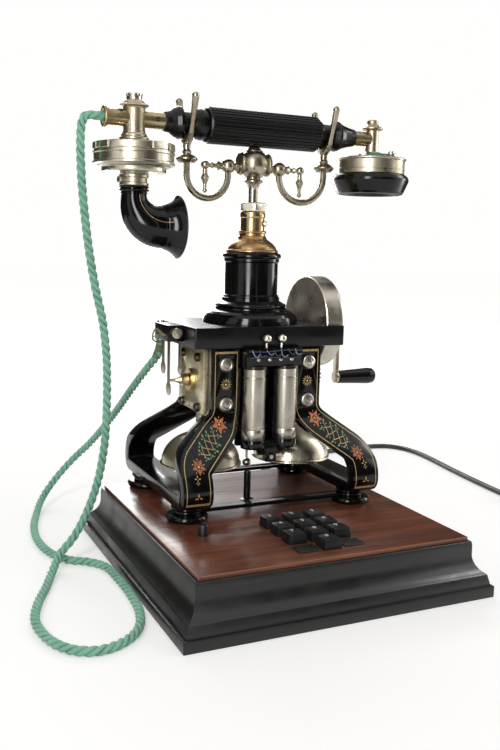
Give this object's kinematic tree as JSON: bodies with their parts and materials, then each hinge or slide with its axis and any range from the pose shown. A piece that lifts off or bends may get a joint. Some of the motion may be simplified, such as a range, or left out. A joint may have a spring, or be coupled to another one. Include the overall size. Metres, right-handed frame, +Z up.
{
  "type": "desk telephone",
  "caption": "Crank desk telephone on two magnet legs with a forked cradle, horn handset, twin gongs and a push-button plinth with cords.",
  "frame": {"origin": "centre of the plinth's underside, on the surface it stands on", "axes": "+X to the crank side (right), +Y to the back, +Z up"},
  "size_m": [0.5205, 0.3864, 0.3255],
  "materials": {
    "black_moulding": "ebonised and varnished wood, satin",
    "mahogany": "varnished red-brown wood veneer, semi gloss",
    "cover_black": "matte black sheet",
    "steel": "plain steel screws",
    "board_green": "circuit board with switches",
    "key_black": "satin black plastic with white digits",
    "black_lacquer": "gloss black japan lacquer, gold lines and painted flowers on the magnets",
    "nickel": "worn warm nickel plate",
    "brass": "aged brass",
    "iron": "dark iron",
    "copper": "lacquered copper wire",
    "ebonite": "polished black ebonite",
    "cord_green": "green plaited cotton",
    "cord_grey": "dark grey PVC sheath",
    "plug_clear": "pale translucent plastic"
  },
  "bodies": {
    "root": {"plinth_rails": "black_moulding", "top_panel": "mahogany", "bottom_cover": "cover_black", "cover_screws": "steel", "keypad_board": "board_green", "blank_keys": "key_black", "feet": "black_lacquer", "tie_bars": "black_lacquer", "left_magnet": "black_lacquer", "right_magnet": "black_lacquer", "magnet_nuts": "nickel", "pole_pieces": "iron", "end_plates": "nickel", "bearings": "brass", "gear_cover": "nickel", "ringer_frame": "black_lacquer", "ringer_coils": "nickel", "ringer_block": "ebonite", "gongs": "nickel", "gong_posts": "nickel", "wire_conduit": "ebonite", "table_plate": "black_lacquer", "front_terminals": "nickel", "terminal_block": "ebonite", "contact_springs": "nickel", "column": "black_lacquer", "column_cap": "brass", "handset_cord": "cord_green", "cord_relief": "cord_grey", "line_cord": "cord_grey", "line_cord_coil": "cord_grey", "line_plug": "plug_clear"},
    "key_0": {"key_0": "key_black"},
    "key_1": {"key_1": "key_black"},
    "key_2": {"key_2": "key_black"},
    "key_3": {"key_3": "key_black"},
    "key_4": {"key_4": "key_black"},
    "key_5": {"key_5": "key_black"},
    "key_6": {"key_6": "key_black"},
    "key_7": {"key_7": "key_black"},
    "key_8": {"key_8": "key_black"},
    "key_9": {"key_9": "key_black"},
    "recall_button": {"recall_button": "key_black"},
    "crank": {"crank_gear": "brass", "crank_arm": "nickel"},
    "crank_knob": {"crank_handle": "ebonite"},
    "armature": {"armature": "iron", "armature_winding": "copper"},
    "clapper": {"clapper": "nickel"},
    "cradle": {"cradle_hub": "nickel", "cradle_arms": "nickel", "cradle_forks": "nickel"},
    "handset": {"handle_grip": "ebonite", "handset_tubes": "nickel", "transmitter_bracket": "nickel", "transmitter_case": "nickel", "mouthpiece_horn": "ebonite", "receiver_bracket": "nickel", "receiver_case": "nickel", "ear_cap": "ebonite"}
  },
  "joints": [
    {"name": "key_0_press", "type": "slide", "parent": "root", "child": "key_0", "axis": [0, 0, -1], "range_m": [0, 0.0025], "stiffness_N_per_m": 200, "springref_m": -0.002},
    {"name": "key_1_press", "type": "slide", "parent": "root", "child": "key_1", "axis": [0, 0, -1], "range_m": [0, 0.0025], "stiffness_N_per_m": 200, "springref_m": -0.002},
    {"name": "key_2_press", "type": "slide", "parent": "root", "child": "key_2", "axis": [0, 0, -1], "range_m": [0, 0.0025], "stiffness_N_per_m": 200, "springref_m": -0.002},
    {"name": "key_3_press", "type": "slide", "parent": "root", "child": "key_3", "axis": [0, 0, -1], "range_m": [0, 0.0025], "stiffness_N_per_m": 200, "springref_m": -0.002},
    {"name": "key_4_press", "type": "slide", "parent": "root", "child": "key_4", "axis": [0, 0, -1], "range_m": [0, 0.0025], "stiffness_N_per_m": 200, "springref_m": -0.002},
    {"name": "key_5_press", "type": "slide", "parent": "root", "child": "key_5", "axis": [0, 0, -1], "range_m": [0, 0.0025], "stiffness_N_per_m": 200, "springref_m": -0.002},
    {"name": "key_6_press", "type": "slide", "parent": "root", "child": "key_6", "axis": [0, 0, -1], "range_m": [0, 0.0025], "stiffness_N_per_m": 200, "springref_m": -0.002},
    {"name": "key_7_press", "type": "slide", "parent": "root", "child": "key_7", "axis": [0, 0, -1], "range_m": [0, 0.0025], "stiffness_N_per_m": 200, "springref_m": -0.002},
    {"name": "key_8_press", "type": "slide", "parent": "root", "child": "key_8", "axis": [0, 0, -1], "range_m": [0, 0.0025], "stiffness_N_per_m": 200, "springref_m": -0.002},
    {"name": "key_9_press", "type": "slide", "parent": "root", "child": "key_9", "axis": [0, 0, -1], "range_m": [0, 0.0025], "stiffness_N_per_m": 200, "springref_m": -0.002},
    {"name": "recall_button_press", "type": "slide", "parent": "root", "child": "recall_button", "axis": [0, 0, -1], "range_m": [0, 0.0025], "stiffness_N_per_m": 200, "springref_m": -0.002},
    {"name": "crank_turn", "type": "hinge", "parent": "root", "child": "crank", "pos_m": [0.07, 0.0445, 0.1685], "axis": [1, 0, 0], "continuous": true},
    {"name": "crank_handle_spin", "type": "hinge", "parent": "crank", "child": "crank_knob", "pos_m": [0.09, 0.0445, 0.124], "axis": [1, 0, 0], "continuous": true},
    {"name": "armature_spin", "type": "hinge", "parent": "root", "child": "armature", "pos_m": [0, 0.0445, 0.1275], "axis": [1, 0, 0], "continuous": true},
    {"name": "clapper_swing", "type": "hinge", "parent": "root", "child": "clapper", "pos_m": [0, 0.0445, 0.076], "axis": [0, 1, 0], "range_deg": [-16, 16]},
    {"name": "handset_lift", "type": "slide", "parent": "root", "child": "handset", "axis": [0, 0, 1], "range_m": [0, 0.026]},
    {"name": "cradle_rise", "type": "slide", "parent": "root", "child": "cradle", "axis": [0, 0, 1], "range_m": [0, 0.004], "stiffness_N_per_m": 150, "springref_m": 0.012}
  ],
  "couplings": [
    {"joint": "armature_spin", "follows": "crank_turn", "ratio": -3.1},
    {"joint": "cradle_rise", "follows": "handset_lift", "ratio": 0.15385}
  ]
}
